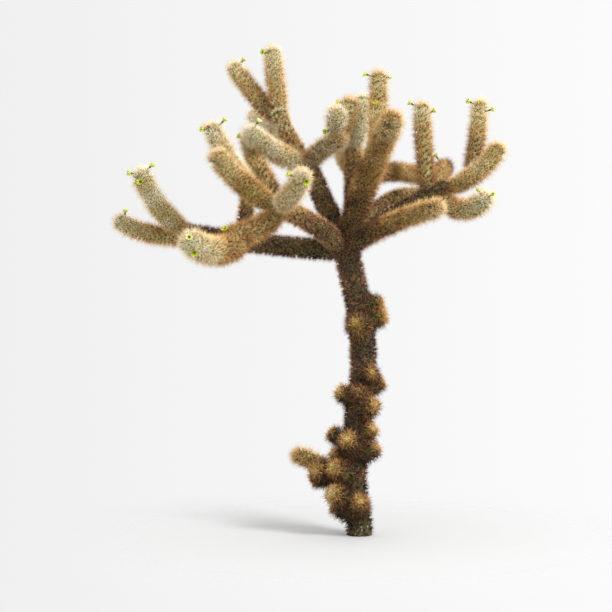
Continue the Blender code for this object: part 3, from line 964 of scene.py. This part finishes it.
SKIN_COLOURS = ("hollow", "crest", "fresh", "speck")
SKIN_VALUES = ("dryness", "roughness")


@dataclass(frozen=True)
class SkinFinish:
    """The finish of a limb's flesh: its hollows, darkened by painted shade, its tubercles, lightened by a
    painted highlight, and the specks on them.

    Attributes:
        slot: the record's material slot that it belongs to.
        hollow: colour between the tubercles.
        crest: colour on the tubercles.
        fresh: colour of the newest flesh, at the tip of a young joint.
        speck: colour of dry specks.
        dryness: share of the surface that the specks take.
        roughness: roughness of the skin.
    """

    slot: str
    hollow: Vec
    crest: Vec
    fresh: Vec
    speck: Vec
    dryness: float
    roughness: float

    def material(self, mottle_and_shade: bpy.types.NodeTree) -> bpy.types.Material:
        """Make the material, with the shared group in it that mottles the skin and paints shade and
        highlight on its relief.
        """
        material = bpy.data.materials.new(self.slot + "_skin")
        material.use_nodes = True
        tree = material.node_tree
        shader = tree.nodes["Principled BSDF"]
        shader.inputs["Specular IOR Level"].default_value = DULLNESS
        colours = {name.capitalize(): (*getattr(self, name), 1.0) for name in SKIN_COLOURS}
        values = {name.capitalize(): getattr(self, name) for name in SKIN_VALUES}
        group = add_node(tree, "Group", colours | values, node_tree=mottle_and_shade)
        bump = add_node(tree, "Bump", BUMP)
        link(tree,
             (group, "Color", shader, "Base Color"),
             (group, "Roughness", shader, "Roughness"),
             (group, "Height", bump, "Height"),
             (bump, "Normal", shader, "Normal"))
        return material


FRESH = (0.300, 0.360, 0.050)
# Each skin's colour between the tubercles is darker and its colour on them lighter: partly the skin's own
# tones, partly painted shade in the hollows and a painted highlight on the tubercles.
SKINS = (
    SkinFinish("trunk_bark", (0.020, 0.012, 0.008), (0.085, 0.080, 0.030), FRESH, (0.130, 0.090, 0.055),
               0.35, 0.75),
    SkinFinish("old_boughs", (0.040, 0.024, 0.012), (0.110, 0.125, 0.030), FRESH, (0.120, 0.068, 0.032),
               0.30, 0.70),
    SkinFinish("young_joints", (0.040, 0.026, 0.010), (0.120, 0.150, 0.030), FRESH, (0.170, 0.105, 0.040),
               0.20, 0.60),
    SkinFinish("golden_arms", (0.120, 0.096, 0.036), (0.270, 0.290, 0.080), FRESH, (0.220, 0.130, 0.050),
               0.25, 0.65),
    SkinFinish("pale_arms", (0.165, 0.160, 0.075), (0.300, 0.330, 0.130), FRESH, (0.260, 0.200, 0.115),
               0.20, 0.60),
)


def mottle_and_shade_group() -> bpy.types.NodeTree:
    """Build the node group that mottles the skin and paints shade into its hollows and highlight onto its
    tubercles, shared by every skin material.
    """
    tree = bpy.data.node_groups.new("skin_mottle", "ShaderNodeTree")
    for name in SKIN_COLOURS:
        tree.interface.new_socket(name.capitalize(), in_out="INPUT", socket_type="NodeSocketColor")
    for name in SKIN_VALUES:
        tree.interface.new_socket(name.capitalize(), in_out="INPUT", socket_type="NodeSocketFloat")
    tree.interface.new_socket("Color", in_out="OUTPUT", socket_type="NodeSocketColor")
    for name in ("Roughness", "Height"):
        tree.interface.new_socket(name, in_out="OUTPUT", socket_type="NodeSocketFloat")
    given = tree.nodes.new("NodeGroupInput")
    result = tree.nodes.new("NodeGroupOutput")
    place = add_node(tree, "TexCoord")
    raised = add_node(tree, "Attribute", attribute_name="raised")
    newest = add_node(tree, "Attribute", attribute_name="fresh")
    broad = add_node(tree, "TexNoise", {"Scale": 38.0, "Detail": 4.0})
    fine = add_node(tree, "TexNoise", {"Scale": 320.0, "Detail": 3.0})
    shift = add_node(tree, "MapRange", {"From Min": 0.3, "From Max": 0.7, "To Min": -0.45, "To Max": 0.35})
    # The tubercles' height, shifted by broad noise, mixes the hollows' colour into the crests' colour:
    # painted shade in the hollows and a painted highlight on the tubercles, over the skin's own tones.
    lift = add_node(tree, "Math", {1: 0.9}, operation="MULTIPLY_ADD")
    body = add_node(tree, "Mix", data_type="RGBA")
    tip = add_node(tree, "Mix", data_type="RGBA")
    speckled = add_node(tree, "Mix", data_type="RGBA")
    patch = add_node(tree, "MapRange", {"From Min": 0.52, "From Max": 0.60})
    dry = add_node(tree, "Math", operation="MULTIPLY")
    rough = add_node(tree, "Math", {1: 0.2}, operation="MULTIPLY_ADD")
    link(tree,
         (place, "Object", broad, "Vector"),
         (place, "Object", fine, "Vector"),
         (broad, "Fac", shift, "Value"),
         (raised, "Fac", lift, 0),
         (shift, "Result", lift, 2),
         (lift, 0, body, "Factor"),
         (given, "Hollow", body, "A"),
         (given, "Crest", body, "B"),
         (newest, "Fac", tip, "Factor"),
         (body, "Result", tip, "A"),
         (given, "Fresh", tip, "B"),
         (fine, "Fac", patch, "Value"),
         (patch, "Result", dry, 0),
         (given, "Dryness", dry, 1),
         (dry, 0, speckled, "Factor"),
         (tip, "Result", speckled, "A"),
         (given, "Speck", speckled, "B"),
         (speckled, "Result", result, "Color"),
         (fine, "Fac", rough, 0),
         (given, "Roughness", rough, 2),
         (rough, 0, result, "Roughness"),
         (fine, "Fac", result, "Height"))
    return tree


@dataclass
class Shells:
    """Closed small shapes gathered into one joined piece, as corners and triangles."""

    points: list[np.ndarray] = field(default_factory=list)
    faces: list[np.ndarray] = field(default_factory=list)
    total: int = 0

    def add(self, points: np.ndarray, faces: np.ndarray) -> None:
        """Add one shape, its faces numbered from its own first corner."""
        self.points.append(points)
        self.faces.append(faces + self.total)
        self.total += len(points)

    def lathe(self, low: np.ndarray, way: np.ndarray, profile: Profile, sides: int) -> None:
        """Add a closed turned shape.

        Args:
            low: the start of its axis.
            way: unit vector along its axis.
            profile: pairs of distance along the axis and radius.
            sides: corners in each ring.
        """
        side, rise = frame_across(way)
        turns = np.arange(sides) * (FULL_TURN / sides)
        out = side * np.cos(turns)[:, None] + rise * np.sin(turns)[:, None]
        rows = [low + way * run + out * radius for run, radius in profile]
        middles = [low + way * profile[0][0], low + way * profile[-1][0]]
        self.add(np.vstack(rows + middles), tube_faces(len(profile), sides))

    def build(self, name: str, colour: Vec, roughness: float, slot: str) -> None:
        """Join all shapes into one piece of one colour."""
        piece = mesh_object(name, np.vstack(self.points), np.vstack(self.faces))
        dress(piece, plain_material(name, colour, roughness), slot)


def frame_across(way: np.ndarray) -> tuple[np.ndarray, np.ndarray]:
    """Return two unit vectors square to a direction and to each other."""
    helper = UP if abs(way[2]) < STEEP else np.array((1.0, 0.0, 0.0))
    side = np.cross(helper, way)
    side = side / np.linalg.norm(side)
    return side, np.cross(way, side)


def spokes(side: np.ndarray, rise: np.ndarray, count: int, offset: float = 0.0) -> list[np.ndarray]:
    """Return unit vectors spread evenly round an axis.

    Args:
        side: unit vector across the axis.
        rise: unit vector across it, square to side.
        count: how many.
        offset: how far the first one stands from side, in steps.

    Returns:
        The unit vectors.
    """
    turns = [FULL_TURN * (i + offset) / count for i in range(count)]
    return [side * math.cos(turn) + rise * math.sin(turn) for turn in turns]


@dataclass
class Blossoms:
    """The small goblet flowers near the arms' tips, each on its own stalk.

    A profile gives pairs of distance along the axis and radius.

    Attributes:
        cup_radius: radius of an open flower.
        cup_depth: its depth.
        throat: its radius at the base.
        rings: petals and their size and lift in the outer and the inner ring.
        petal_rows: share of a petal's length and share of its width at each row of its corners.
        petal_start: distance from the axis at which the petals and the stamens start.
        petal_width: half the width of a petal.
        petal_thickness: thickness of a petal.
        petal_fold: how far its edges fold back, for its half width.
        petal_rise: how late the petals rise, as a power of the share.
        petal_flare: how soon they spread, as a power of the share.
        point_flare: how far a petal's point turns out past its edge.
        flesh_share: share of the flesh's radius at which a stalk starts.
        stalk_radius: radius of a stalk.
        stalk_foot: how much thicker it is at its foot.
        ovary: profile of the swelling under the petals.
        stigma: profile of the flower's middle.
        stamens: number of stamens.
        stamen: profile of a stamen.
        stamen_lean: how far the stamens lean out.
        stalk_sides: corners round a stalk.
        heart_sides: corners round an ovary and a stigma.
        stamen_sides: corners round a stamen.
    """

    cup_radius: float = 0.0115
    cup_depth: float = 0.0140
    throat: float = 0.0018
    rings: tuple[tuple[int, float, float], ...] = ((7, 1.0, 0.0), (6, 0.78, 0.25))
    petal_rows: Profile = ((0.30, 0.70), (0.62, 1.0), (0.86, 0.62))
    petal_start: float = 0.0012
    petal_width: float = 0.0052
    petal_thickness: float = 0.0006
    petal_fold: float = 0.22
    petal_rise: float = 1.15
    petal_flare: float = 0.7
    point_flare: float = 1.06
    flesh_share: float = 0.7
    stalk_radius: float = 0.0018
    stalk_foot: float = 1.3
    ovary: Profile = ((-0.0006, 0.00162), (0.0022, 0.0036), (0.0058, 0.0044), (0.0080, 0.0030))
    stigma: Profile = ((0.0, 0.0022), (0.0030, 0.0030), (0.0048, 0.0016))
    stamens: int = 9
    stamen: Profile = ((0.0, 0.0004), (0.0070, 0.0003), (0.0078, 0.0007))
    stamen_lean: float = 0.35
    stalk_sides: int = 6
    heart_sides: int = 8
    stamen_sides: int = 4

    def petal(self, root: np.ndarray, way: np.ndarray, out: np.ndarray, size: float,
              lift: float) -> tuple[np.ndarray, np.ndarray]:
        """Shape one pointed petal as a thin closed shell.

        Args:
            root: the middle of the flower's base.
            way: the flower's axis.
            out: unit vector from the axis to the petal.
            size: size of the petal, 1 in the outer ring.
            lift: how much steeper than the outer ring it stands, 0 to 1.

        Returns:
            Its corners and its triangles.
        """
        across = np.cross(way, out)
        spread = self.cup_radius * size * (1 - lift / 2)
        sunk = (way - out) * (self.petal_thickness / 2)
        points = [root + out * self.petal_start]
        for share, wide in self.petal_rows:
            run = self.cup_depth * size * share ** self.petal_rise
            radius = self.throat + (spread - self.throat) * share ** self.petal_flare
            middle = root + way * run + out * radius
            half = across * (self.petal_width * wide * size)
            fold = out * (self.petal_width * self.petal_fold * wide)
            points += [middle - half - fold, middle + half - fold, middle + sunk, middle - sunk]
        points.append(root + way * (self.cup_depth * size) + out * (spread * self.point_flare))
        faces = []
        for middle, flip in ((2, False), (3, True)):
            side = [(0, 1, 1 + middle), (0, 1 + middle, 2)]
            for left in (1, 5):
                right, centre = left + 1, left + middle
                side += [(left, left + 4, centre + 4), (left, centre + 4, centre),
                         (centre, centre + 4, right + 4), (centre, right + 4, right)]
            side += [(9, 13, 9 + middle), (9 + middle, 13, 10)]
            faces += [(a, c, b) if flip else (a, b, c) for a, b, c in side]
        return np.array(points), np.array(faces)

    def flower(self, limb: Limb, flower: Flower, petals: Shells, hearts: Shells, stalks: Shells) -> None:
        """Add one flower: stalk, ovary, two rings of petals and the stamens between them.

        The stalk grows from one step below the point of the arm's centreline nearest to the cup.

        Args:
            limb: the arm.
            flower: the flower.
            petals: where its petals go.
            hearts: where its stamens go.
            stalks: where its stalk and ovary go.
        """
        line = CENTRELINES[limb.name]
        nearest = int(np.argmin(np.linalg.norm(line - np.array(flower.cup), axis=1)))
        root = line[nearest - 1]
        way = unit(np.array(flower.cup) - root)
        head = np.array(flower.cup) - way * (self.cup_depth / 2)
        skin = flesh_radius(limb, limb.length * (nearest - 1) / STEPS) * self.flesh_share
        ovary_length = self.ovary[-1][0]
        stalk = float(np.linalg.norm(head - root)) - skin - ovary_length
        stem = ((0.0, self.stalk_radius * self.stalk_foot), (stalk, self.stalk_radius))
        stalks.lathe(root + way * skin, way, stem, self.stalk_sides)
        stalks.lathe(head - way * ovary_length, way, self.ovary, self.heart_sides)
        side, rise = frame_across(way)
        for number, (count, size, lift) in enumerate(self.rings):
            for out in spokes(side, rise, count, 0.5 * number):
                petals.add(*self.petal(head, way, out, size, lift))
        hearts.lathe(head, way, self.stigma, self.heart_sides)
        for out in spokes(side, rise, self.stamens):
            lean = unit(way + out * self.stamen_lean)
            hearts.lathe(head + out * self.petal_start, lean, self.stamen, self.stamen_sides)

    def build(self) -> None:
        """Make the flowers of the whole plant, joined by colour."""
        yellow, pale, hearts, stalks = Shells(), Shells(), Shells(), Shells()
        for limb in LIMBS:
            for flower in limb.flowers:
                self.flower(limb, flower, pale if flower.pale else yellow, hearts, stalks)
        yellow.build("petals_yellow", (0.560, 0.590, 0.035), 0.45, "pale_arms")
        pale.build("petals_pale", (0.780, 0.800, 0.330), 0.45, "pale_arms")
        # The stamens and the stigma are dark olive: partly their own colour, partly painted shade for the
        # inside of the cup.
        hearts.build("flower_hearts", (0.110, 0.130, 0.015), 0.60, "young_joints")
        stalks.build("flower_stalks", (0.060, 0.095, 0.022), 0.55, "young_joints")


@dataclass
class FootPads:
    """Small bare pads round the foot, where the lowest tubercles have dried to pale skin.

    Attributes:
        rng: the seeded source of small differences.
        rows: height, number and size of the pads in each row.
        profile: share of a pad's half height and share of its radius, from its foot to its top.
        half_height: half the height of the largest pads.
        radius: their radius.
        sizes: the smallest and the largest pad, for its row's size.
        stray: how far a pad strays from its even place, for the step to the next.
        lean: how far a pad may lean out.
        proud: how far a pad's middle stands out past the flesh.
        ground_gap: how far the lowest pads stay above the ground.
        sides: corners round a pad.
        colours: name and colour of each kind of pad.
    """

    rng: np.random.Generator
    rows: tuple[tuple[float, int, float], ...] = (
        (0.008, 13, 1.0), (0.021, 12, 1.0), (0.034, 9, 0.85), (0.048, 6, 0.7))
    profile: Profile = ((-1.0, 0.15), (-0.7, 0.72), (0.0, 1.0), (0.7, 0.72), (1.0, 0.15))
    half_height: float = 0.0052
    radius: float = 0.0036
    sizes: tuple[float, float] = (0.8, 1.2)
    stray: float = 0.2
    lean: float = 0.35
    proud: float = 0.0015
    ground_gap: float = 0.001
    sides: int = 7
    colours: tuple[tuple[str, Vec], ...] = (
        ("mint", (0.230, 0.290, 0.150)), ("olive", (0.110, 0.120, 0.042)), ("dusky", (0.085, 0.060, 0.040)))

    def build(self) -> None:
        """Set the pads round the trunk's foot and join them by colour."""
        kinds = [Shells() for _ in self.colours]
        trunk = LIMBS[0]
        for row, (height, count, size) in enumerate(self.rows):
            centre = point_on(CENTRELINES[trunk.name], height / trunk.length)
            radius = flesh_radius(trunk, height) + self.proud
            for i in range(count):
                turn = FULL_TURN * (i + 0.5 * (row % 2) + self.rng.uniform(-self.stray, self.stray)) / count
                out = np.array((math.cos(turn), math.sin(turn), 0.0))
                half = self.half_height * size * self.rng.uniform(*self.sizes)
                girth = self.radius * size * self.rng.uniform(*self.sizes)
                way = unit(UP + out * self.rng.uniform(0.0, self.lean))
                middle = centre + out * radius
                middle[2] = max(height, half + self.ground_gap)
                shape = tuple((run * half, wide * girth) for run, wide in self.profile)
                kinds[self.rng.integers(len(kinds))].lathe(middle, way, shape, self.sides)
        for shells, (name, colour) in zip(kinds, self.colours):
            shells.build("foot_pads_" + name, colour, 0.6, "trunk_bark")


@dataclass
class Studio:
    """The plain stage: camera, soft light, pale floor and ground tone.

    Attributes:
        eye: the camera's place.
        focal: its focal length in millimetres.
        sensor: width of its sensor in millimetres.
        aim: the point that the key light shines at.
        key_azimuth: direction from which the key light comes.
        key_elevation: its height in degrees.
        key_distance: its distance.
        key_size: side of its square.
        key_power: its power in watts.
        fill: strength of the light from all round.
        sight: half the width of the view, as a share of the distance.
        tones: ground tone at the left and at the right of the view; the brighter right is painted light from
            the key light's side.
        floor_sides: corners of the floor's disc.
        floor_radius: its radius.
        floor_tone: its base colour.
        fade: distances from the plant between which it fades away.
    """

    eye: Vec = (-0.1963, -5.193, 0.8393)
    focal: float = 83.24
    sensor: float = 36.0
    aim: Vec = (-0.1, 0.0, 0.7)
    key_azimuth: float = -45.0
    key_elevation: float = 40.0
    key_distance: float = 12.0
    key_size: float = 4.0
    key_power: float = 1560.0
    fill: float = 1.70
    sight: float = 0.21
    tones: tuple[float, float] = (0.870, 0.965)
    floor_sides: int = 96
    floor_radius: float = 2.4
    floor_tone: float = 0.460
    fade: tuple[float, float] = (0.35, 1.3)

    def camera(self) -> None:
        """Place the camera at standing height in front of the plant."""
        data = bpy.data.cameras.new("camera")
        data.lens = self.focal
        data.sensor_width = self.sensor
        eye = bpy.data.objects.new("camera", data)
        eye.location = self.eye
        eye.rotation_euler = (math.radians(90), 0.0, 0.0)
        bpy.context.scene.collection.objects.link(eye)
        bpy.context.scene.camera = eye

    def key(self) -> None:
        """Hang the soft key light at the front right."""
        data = bpy.data.lights.new("key", "AREA")
        data.size = self.key_size
        data.energy = self.key_power
        lamp = bpy.data.objects.new("key", data)
        way = Vector(heading(self.key_azimuth, self.key_elevation))
        lamp.location = Vector(self.aim) + way * self.key_distance
        lamp.rotation_euler = way.to_track_quat("Z", "Y").to_euler()
        lamp.visible_camera = False
        bpy.context.scene.collection.objects.link(lamp)

    def surroundings(self) -> None:
        """Set the pale ground tone that the camera sees, brightened towards the right with painted light,
        and the even light on the plant.
        """
        world = bpy.data.worlds.new("surroundings")
        bpy.context.scene.world = world
        world.use_nodes = True
        tree = world.node_tree
        seen_with_painted_light = tree.nodes["Background"]
        place = add_node(tree, "TexCoord")
        split = add_node(tree, "SeparateXYZ")
        # Painted light: the ground tone rises from the left of the view to the right, the key light's side.
        across = add_node(tree, "MapRange", {"From Min": -self.sight, "From Max": self.sight,
                                             "To Min": self.tones[0], "To Max": self.tones[1]})
        light = add_node(tree, "Background", {"Strength": self.fill})
        path = add_node(tree, "LightPath")
        mix = add_node(tree, "MixShader")
        link(tree,
             (place, "Generated", split, "Vector"),
             (split, "X", across, "Value"),
             (across, "Result", seen_with_painted_light, "Color"),
             (path, "Is Camera Ray", mix, "Fac"),
             (light, "Background", mix, 1),
             (seen_with_painted_light, "Background", mix, 2),
             (mix, "Shader", tree.nodes["World Output"], "Surface"))

    def floor(self) -> None:
        """Lay a round pale floor that fades into the surroundings."""
        number = np.arange(self.floor_sides)
        turns = number * (FULL_TURN / self.floor_sides)
        rim = np.stack((np.cos(turns), np.sin(turns), np.zeros(len(turns))), axis=1) * self.floor_radius
        middle = np.full(self.floor_sides, self.floor_sides)
        faces = np.stack((number, (number + 1) % self.floor_sides, middle), axis=1)
        disc = mesh_object("floor", np.vstack((rim, (0.0, 0.0, 0.0))), faces)
        material = plain_material("floor", (self.floor_tone,) * 3, 0.9)
        tree = material.node_tree
        place = add_node(tree, "TexCoord")
        length = add_node(tree, "VectorMath", operation="LENGTH")
        fade = add_node(tree, "MapRange", {"From Min": self.fade[0], "From Max": self.fade[1]},
                        interpolation_type="SMOOTHSTEP")
        clear = add_node(tree, "BsdfTransparent")
        mix = add_node(tree, "MixShader")
        link(tree,
             (place, "Object", length, 0),
             (length, "Value", fade, "Value"),
             (fade, "Result", mix, "Fac"),
             (tree.nodes["Principled BSDF"], "BSDF", mix, 1),
             (clear, "BSDF", mix, 2),
             (mix, "Shader", tree.nodes["Material Output"], "Surface"))
        disc.data.materials.append(material)

    def build(self) -> None:
        """Set up the whole stage and plain colour handling."""
        bpy.context.scene.view_settings.view_transform = "Standard"
        self.camera()
        self.key()
        self.surroundings()
        self.floor()


def main() -> None:
    """Build the plant from its flesh outwards, then the stage round it."""
    logging.basicConfig(level=logging.INFO, format="%(message)s")
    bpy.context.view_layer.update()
    slots = {part["node"]: part["material_slot"] for part in frame["record"]["subparts"]}
    mottle_and_shade = mottle_and_shade_group()
    skins = {finish.slot: finish.material(mottle_and_shade) for finish in SKINS}
    skeleton = Skeleton()
    coat = SpineCoat(skeleton, np.random.default_rng(SEED))
    for limb in LIMBS:
        flesh = Flesh(limb, skeleton)
        rings = flesh.rings()
        dress(flesh.build(rings), skins[slots[limb.name]], slots[limb.name], limb.name)
        coat.grow(limb, flesh.areoles(rings, coat.rng))
    coat.build()
    Blossoms().build()
    FootPads(np.random.default_rng(SEED + 1)).build()
    Studio().build()


if __name__ == "__main__":
    main()
